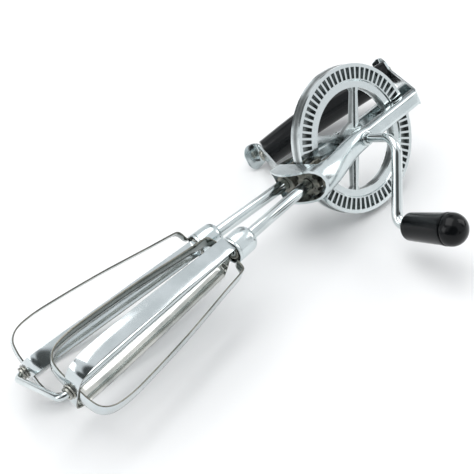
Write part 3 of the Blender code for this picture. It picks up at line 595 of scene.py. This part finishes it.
def bent_strip(name, path, widths, thick):
    """Pulls an edge that lies along Y from point to point of a path in the XZ plane."""
    drop_selection()
    bpy.ops.mesh.primitive_plane_add(size=2.0 * MM)
    obj = bpy.context.object
    obj.name = name
    choose_points(obj, lambda vert: vert.co.x < 0.0)
    bpy.ops.object.mode_set(mode="EDIT")
    bpy.ops.mesh.select_mode(type="VERT")
    bpy.ops.mesh.delete(type="VERT")
    bpy.ops.mesh.select_all(action="SELECT")
    x, z = path[0]
    bpy.ops.transform.resize(value=(1.0, widths[0] / 2.0, 1.0), center_override=(0.0, 0.0, 0.0))
    bpy.ops.transform.translate(value=((x - 1.0) * MM, 0.0, z * MM))
    for (x0, z0), (x1, z1), w0, w1 in zip(path, path[1:], widths, widths[1:]):
        bpy.ops.mesh.extrude_region_move(
            TRANSFORM_OT_translate={"value": ((x1 - x0) * MM, 0.0, (z1 - z0) * MM)})
        if w1 != w0:
            bpy.ops.transform.resize(value=(1.0, w1 / w0, 1.0), center_override=(0.0, 0.0, 0.0))
    bpy.ops.object.mode_set(mode="OBJECT")
    outward(obj)
    sheet = obj.modifiers.new("sheet", "SOLIDIFY")
    sheet.thickness = thick * MM
    sheet.offset = 0.0
    sheet.use_even_offset = True
    apply_modifiers(obj)
    return obj

# %% [markdown]
# Each beater has two loops of strip at right angles. A loop leaves the ferrule, steps out past its rim,
# widens slowly down to the shoulder and turns in under the hub, where both are pierced and held by one
# eyelet. The second loop lies one strip lower there, so that the two can cross. The front and rear beaters
# start at different turns, so that their loops pass between each other as they spin.

# %% Blade loops
BLADE_THICK = 0.7
BLADE_WIDTH = 8.0
NECK_WIDTH = 3.8
BLADE_TURN = {"front": math.radians(-41.0), "rear": math.radians(-23.0)}
EYELET = 2.6
STACK = BLADE_THICK + GAP
LOOP_DEPTH = 101.2
DROP_FROM = 80.0
DROP_OVER = 20.0
BLADE_SIDE = ((5.15, 11.0), (5.15, 4.0), (5.3, -0.5), (6.6, -2.4), (9.4, -3.2), (11.2, -4.5), (12.0, -8.0),
              (13.3, -20.0), (16.6, -48.0), (18.7, -75.0), (19.0, -87.0), (17.8, -95.0), (14.3, -99.6),
              (9.0, -101.0), (4.5, -LOOP_DEPTH))


def blade_line(drop):
    """Half a loop is drawn from its neck to the hub, and the other half mirrors it."""
    fit = (LEVEL - HUB_LEVEL) / LOOP_DEPTH
    side = []
    for x, z in smooth_line(BLADE_SIDE, 5):
        z = z * fit if z < 0 else z
        z -= drop * min(max((-z - DROP_FROM) / DROP_OVER, 0.0), 1.0)
        side.append(Vector((x, LEVEL + z)))
    side.append(Vector((EYELET + 0.6, side[-1].y)))
    return side + [Vector((0.0, side[-1].y))] + [Vector((-p.x, p.y)) for p in reversed(side)]


def share_finishes(obj, inside):
    """The outside of a loop is polished, its inside takes the given finish (painted shade on the first loop),
    and its cut edges are dark.
    """
    obj.data.materials.clear()
    for finish in (STRIP, inside, CUT_EDGE):
        obj.data.materials.append(finish)
    middle = Vector((0.0, 0.0, (HUB_LEVEL + 40.0) * MM))
    for face in obj.data.polygons:
        outside = face.normal.dot(face.center - middle) > 0.0
        face.material_index = 2 if abs(face.normal.y) > 0.6 else 0 if outside else 1


def blade_loop(name, side, turn, drop, node, inside):
    """One loop: bent, pierced for the eyelet, finished on each side and set on its shaft."""
    path = blade_line(drop)
    necking = [min(max((p.y - LEVEL + 5.0) / 4.0, 0.0), 1.0) for p in path]
    widths = [BLADE_WIDTH + (NECK_WIDTH - BLADE_WIDTH) * t for t in necking]
    obj = bent_strip(name, [tuple(p) for p in path], widths, BLADE_THICK)
    drop_selection()
    bpy.ops.mesh.primitive_cylinder_add(vertices=32, radius=(EYELET + GAP) * MM, depth=8.0 * MM,
                                        location=(0.0, 0.0, (HUB_LEVEL - 1.0) * MM))
    punch = bpy.context.object
    hole = obj.modifiers.new("eye", "BOOLEAN")
    hole.object = punch
    hole.solver = "EXACT"
    apply_modifiers(obj)
    bpy.data.objects.remove(punch, do_unlink=True)
    share_finishes(obj, inside)
    settle(obj, SHAFTS[side] @ Matrix.Rotation(turn, 4, "Z"))
    return finish_piece(obj, side + "_beater", None, [node], 0.1, 2, 40.0)


for side, turn in BLADE_TURN.items():
    # The first loop's inside gets the painted shade finish; the second loop's inside is only a little darker.
    blade_loop("strip_loop_a_" + side, side, turn, 0.0, "blade_loop_a_" + side, SHADED)
    blade_loop("strip_loop_b_" + side, side, turn + math.pi / 2, STACK, "blade_loop_b_" + side, INSIDE)

# %% [markdown]
# A beater's shaft is a plain tube with its pinion on top. The ferrule is a drawn cup over the ends of the
# loops, with a fine groove near its mouth and a round shoulder up to the tube. A rolled eyelet holds the
# loops under the hub, and a collar on the guide rod keeps the beater up. Each is one turned outline.

# %% Tubes, ferrules and hub eyelets
TUBE_RADIUS = 3.0
TUBE_BORE = 2.1
TUBE_TOP = 2.3
FERRULE_RADIUS = 6.7
FERRULE_LENGTH = 13.6
FERRULE_TOP = LEVEL + FERRULE_LENGTH
FERRULE_WALL = 0.6
SHOULDER = 3.6
NECK_RADIUS = 4.2
ROD_BORE = 1.9
ROLL_OUT = 3.6
COLLAR_THICK = 1.0


def ferrule_outline():
    """The cup's section: its mouth, the groove, the straight side, the shoulder and the wall inside."""
    wall = FERRULE_RADIUS - FERRULE_WALL
    line = [(wall, LEVEL + 0.15), (FERRULE_RADIUS - 0.15, LEVEL), (FERRULE_RADIUS, LEVEL + 0.2),
            (FERRULE_RADIUS, LEVEL + 1.5), (FERRULE_RADIUS - 0.13, LEVEL + 1.75), (FERRULE_RADIUS, LEVEL + 2.0),
            (FERRULE_RADIUS, FERRULE_TOP - SHOULDER)]
    for step in range(1, 9):
        bend = math.pi / 2 * step / 9
        line.append((NECK_RADIUS + (FERRULE_RADIUS - NECK_RADIUS) * math.cos(bend),
                     FERRULE_TOP - SHOULDER + (SHOULDER - 0.25) * math.sin(bend)))
    return line + [(NECK_RADIUS - 0.1, FERRULE_TOP - 0.12), (3.3, FERRULE_TOP), (3.3, FERRULE_TOP - 1.1),
                   (NECK_RADIUS + 0.2, FERRULE_TOP - 1.3), (wall - 0.2, FERRULE_TOP - 3.4)]


def eyelet_outline(upper, under):
    """A short tube whose two ends are rolled out over the loops."""
    return [(ROD_BORE, upper + 0.5), (ROD_BORE, under - 0.5), (2.4, under - 0.62), (3.1, under - 0.6),
            (ROLL_OUT - 0.05, under - 0.35), (ROLL_OUT, under), (EYELET, under), (EYELET, upper),
            (ROLL_OUT, upper), (ROLL_OUT - 0.05, upper + 0.35), (3.1, upper + 0.6), (2.4, upper + 0.62)]


hub_upper = HUB_LEVEL + BLADE_THICK * 0.5 + GAP
hub_under = HUB_LEVEL - STACK - BLADE_THICK * 0.5 - GAP
tube_outline = [(TUBE_BORE, LEVEL + 0.4), (TUBE_RADIUS, LEVEL + 0.4), (TUBE_RADIUS, TUBE_TOP),
                (TUBE_BORE, TUBE_TOP)]
for side in ("front", "rear"):
    shaft = SHAFTS[side]
    tube = turned("tube_" + side, tube_outline, 48)
    settle(tube, shaft)
    finish_piece(tube, side + "_beater", ROD, ["shaft_tube_" + side], 0.1)
    sleeve = turned("sleeve_cup_" + side, ferrule_outline(), 72)
    settle(sleeve, shaft)
    finish_piece(sleeve, side + "_beater", SATIN, ["ferrule_" + side])
    eyelet = turned("rolled_eyelet_" + side, eyelet_outline(hub_upper, hub_under), 48)
    settle(eyelet, shaft)
    finish_piece(eyelet, side + "_beater", FITTING, ["hub_eyelet_" + side])
    ring("stop_collar_" + side, SLEEVE_RADIUS, ROD_BORE, hub_under - 0.9 - COLLAR_THICK, hub_under - 0.9, shaft,
         "frame", FITTING, "hub_stop_" + side)

# %% [markdown]
# ## Grip
# The grip is a gently curved moulding, fattest in the middle, whose ends sit flat against the two straps.
# It is swept along its own line a little too long, as a blank would be, and each end is then sliced off in
# the plane of its strap and rounded over.

# %% Grip moulding
GRIP_LINE = ((-13.6, 61.5), (30.0, 59.5), (77.2, 46.6))
GRIP_RADIUS = 7.6
GRIP_BULGE = 1.2
GRIP_SPARE = 7.0
SEAT = SHEET * 0.5 + GAP
STRAP_FOOT = Vector((44.5, -8.0, 0.0))
STRAP_REACH = 65.2
STRAP_LEAN = math.atan2(40.0, 61.4)
LOWER_FOOT = Vector((-36.5, 20.6, 0.0))
LOWER_REACH = 46.5

strap_way = Vector((math.sin(STRAP_LEAN), math.cos(STRAP_LEAN), 0.0))
strap_out = Vector((strap_way.y, -strap_way.x, 0.0))
top_seat = STRAP_FOOT + strap_way * STRAP_REACH
lower_way = Vector((0.47, 0.883, 0.0)).normalized()
lower_out = Vector((-lower_way.y, lower_way.x, 0.0))
lower_seat = LOWER_FOOT + lower_way * LOWER_REACH

middle = smooth_line(GRIP_LINE, 12)
span = len(middle) - 1
first = (middle[1] - middle[0]).normalized() * GRIP_SPARE
last = (middle[-1] - middle[-2]).normalized() * GRIP_SPARE
grip_path = [middle[0] - first] + middle + [middle[-1] + last]
grip_radii = [GRIP_RADIUS] + [GRIP_RADIUS + GRIP_BULGE * math.sin(math.pi * i / span) for i in range(span + 1)]
grip_radii.append(GRIP_RADIUS)
grip = bent_bar("grip_moulding", [(p.x, p.y, 0.0) for p in grip_path], grip_radii, 14)


def slice_end(obj, place, way):
    """Cuts off everything past a plane and caps the cut."""
    pick(obj)
    bpy.ops.object.mode_set(mode="EDIT")
    bpy.ops.mesh.select_all(action="SELECT")
    bpy.ops.mesh.bisect(plane_co=place * MM, plane_no=way, use_fill=True, clear_outer=True)
    bpy.ops.object.mode_set(mode="OBJECT")


slice_end(grip, lower_seat - lower_out * SEAT, lower_out)
slice_end(grip, top_seat - strap_out * SEAT, strap_out)
settle(grip, DESIGN)
finish_piece(grip, "frame", BLACK, ["handle_grip"], 0.5, 3, 50.0)

# %% [markdown]
# ## Pressed and cast pieces
# The stamped frame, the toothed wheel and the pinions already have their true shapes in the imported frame.
# Each is copied, its flat facets are joined, and its sharp edges are rounded, since neither a pressing nor a
# casting has a knife edge. The small fittings keep their solids and only get a finish.

# %% Frame, wheel, pinions and small fittings
FLAT_WITHIN = 0.6
FACETS_MEET_WITHIN = 0.01
ROUND_ABOVE = 35.0


def refined(name, node, body, finish, bevel):
    """A copy of a solid is merged, its flat triangles joined, and its sharp edges rounded."""
    source = frame["nodes"][node]
    obj = bpy.data.objects.new(name, source.data.copy())
    bpy.context.scene.collection.objects.link(obj)
    pick(obj)
    bpy.ops.object.mode_set(mode="EDIT")
    bpy.ops.mesh.select_all(action="SELECT")
    bpy.ops.mesh.remove_doubles(threshold=FACETS_MEET_WITHIN * MM)
    bpy.ops.mesh.dissolve_limited(angle_limit=math.radians(FLAT_WITHIN))
    bpy.ops.object.mode_set(mode="OBJECT")
    edge = obj.modifiers.new("edge", "BEVEL")
    edge.width = bevel * MM
    edge.segments = 2
    edge.limit_method = "ANGLE"
    edge.angle_limit = math.radians(ROUND_ABOVE)
    apply_modifiers(obj)
    finish_piece(obj, body, finish, [node])
    even = obj.modifiers.new("even", "WEIGHTED_NORMAL")
    even.keep_sharp = True
    apply_modifiers(obj)


def coat(node, finish):
    """Gives a solid that is kept as it is its finish."""
    mesh = frame["nodes"][node].data
    mesh.materials.clear()
    mesh.materials.append(finish)
    print(node, "keeps its solid, finished as", finish.name)


refined("pressed_frame", "frame_body", "frame", SATIN, 0.3)
refined("toothed_wheel", "gear_wheel", "drive", CASTING, 0.16)
for side in ("front", "rear"):
    refined("cut_pinion_" + side, "pinion_" + side, side + "_beater", BARE, 0.14)
    coat("rod_anchor_" + side, BARE)
    coat("thrust_washer_" + side, FITTING)
    coat("blade_core_" + side, FITTING)
for node in ("grip_rod", "knob_retainer", "grip_rivet_top", "grip_rivet_bottom"):
    coat(node, FITTING)

# %% [markdown]
# ## Studio
# The piece lies on a pale matt floor under one big soft light, with a weaker one on each side. Bright metal
# is only as good as what it reflects, so the lamps are wide and even and the rest is left to the tent.

# %% Floor and lights
FLOOR_SIZE = 12.0
FLOOR_GAP = 0.5

drop_selection()
bpy.ops.mesh.primitive_plane_add(size=FLOOR_SIZE, location=(0.0, 0.0, -FLOOR_GAP * MM))
floor = bpy.context.object
floor.name = "studio_floor"
floor_mat, tree, shader, place = new_finish("pale_floor", (0.92, 0.92, 0.92), 0.0, 0.6)
tree.links.new(ramp(tree, grain(tree, place, 3.0), ((0.3, (0.90, 0.90, 0.90)), (0.7, (0.93, 0.93, 0.93)))),
               shader.inputs["Base Color"])
floor.data.materials.append(floor_mat)


def soft_light(name, place, target, size, power):
    """A rectangular lamp that faces a target: sizes in metres, power in watts."""
    drop_selection()
    bpy.ops.object.light_add(type="AREA", location=place)
    lamp = bpy.context.object
    lamp.name = name
    lamp.data.shape = "RECTANGLE"
    lamp.data.size = size[0]
    lamp.data.size_y = size[1]
    lamp.data.energy = power
    way = Vector(target) - Vector(place)
    lamp.rotation_euler = way.to_track_quat("-Z", "Y").to_euler()


soft_light("light_top", (-0.1, 0.3, 1.3), (0.0, 0.0, 0.0), (1.3, 1.0), 9.0)
soft_light("light_left", (-1.1, 0.5, 0.5), (0.0, 0.0, 0.03), (0.6, 0.8), 3.0)
soft_light("light_right", (0.9, -0.5, 0.6), (0.0, 0.0, 0.03), (0.5, 0.8), 3.0)
print("floor and", len(bpy.data.lights), "lights")

# %% [markdown]
# A light tent is white nearly all round. Black cards hang in it where the bright metal should show a dark
# edge: one behind the camera and a few low ones beside the piece. Each card is a soft-edged round patch.
# They are there for the metal alone, so what lies straight behind the piece is plain white.

# %% Light tent with black cards
world = bpy.data.worlds.new("light_tent")
bpy.context.scene.world = world
world.use_nodes = True
tent = world.node_tree
sky = tent.nodes["Background"]
look = tent.nodes.new("ShaderNodeTexCoord").outputs["Generated"]


def black_card(shade, azimuth, elevation, reach, edge, depth):
    """Darkens the tent around one direction: reach and edge are angles in degrees."""
    az, el = math.radians(azimuth), math.radians(elevation)
    dot = tent.nodes.new("ShaderNodeVectorMath")
    dot.operation = "DOT_PRODUCT"
    dot.inputs[1].default_value = (math.cos(az) * math.cos(el), math.sin(az) * math.cos(el), math.sin(el))
    tent.links.new(look, dot.inputs[0])
    fall = tent.nodes.new("ShaderNodeMapRange")
    fall.interpolation_type = "SMOOTHSTEP"
    fall.inputs["From Min"].default_value = math.cos(math.radians(reach))
    fall.inputs["From Max"].default_value = math.cos(math.radians(reach - edge))
    fall.inputs["To Min"].default_value = 1.0
    fall.inputs["To Max"].default_value = depth
    tent.links.new(dot.outputs["Value"], fall.inputs["Value"])
    if shade is None:
        return fall.outputs["Result"]
    both = tent.nodes.new("ShaderNodeMath")
    both.operation = "MULTIPLY"
    tent.links.new(shade, both.inputs[0])
    tent.links.new(fall.outputs["Result"], both.inputs[1])
    return both.outputs["Value"]


# each card: azimuth, elevation, reach, edge (all in degrees) and how much light it leaves
CARDS = ((228.0, 30.0, 36.0, 12.0, 0.08), (322.0, 24.0, 17.0, 5.0, 0.03), (338.0, 8.0, 12.0, 5.0, 0.05),
         (190.0, 6.0, 22.0, 8.0, 0.08), (42.0, 38.0, 13.0, 5.0, 0.12), (100.0, 16.0, 20.0, 7.0, 0.12),
         (50.0, 6.0, 14.0, 6.0, 0.12), (270.0, 4.0, 10.0, 4.0, 0.15), (150.0, 40.0, 12.0, 6.0, 0.1))
shade = None
for card in CARDS:
    shade = black_card(shade, *card)
tent_colour = ramp(tent, shade, ((0.0, (0.02, 0.024, 0.022)), (1.0, (0.86, 0.88, 0.90))))
plain = tent.nodes.new("ShaderNodeMix")
plain.data_type = "RGBA"
plain.inputs["B"].default_value = (0.97, 0.97, 0.97, 1.0)
direct = tent.nodes.new("ShaderNodeLightPath").outputs["Is Camera Ray"]
tent.links.new(direct, plain.inputs["Factor"])
tent.links.new(tent_colour, plain.inputs["A"])
tent.links.new(plain.outputs["Result"], sky.inputs["Color"])
sky.inputs["Strength"].default_value = 1.0
print(len(CARDS), "black cards")

# %% [markdown]
# The camera stands at the beater end, above and to one side, and looks down the whole length with a long
# lens, so that the near beater isn't blown up against the wheel.

# %% Camera
CAMERA_PLACE = (-0.25495, -0.27136, 0.33223)
CAMERA_TURN = (49.755, 6.375, -44.626)
LENS = 74.07

drop_selection()
bpy.ops.object.camera_add(location=CAMERA_PLACE, rotation=[math.radians(angle) for angle in CAMERA_TURN])
camera = bpy.context.object
camera.data.sensor_width = 36.0
camera.data.lens = LENS
camera.data.clip_start = 0.01
bpy.context.scene.camera = camera
bpy.context.scene.view_settings.view_transform = "Standard"
print("camera stands", round(camera.location.length, 3), "m from the middle")
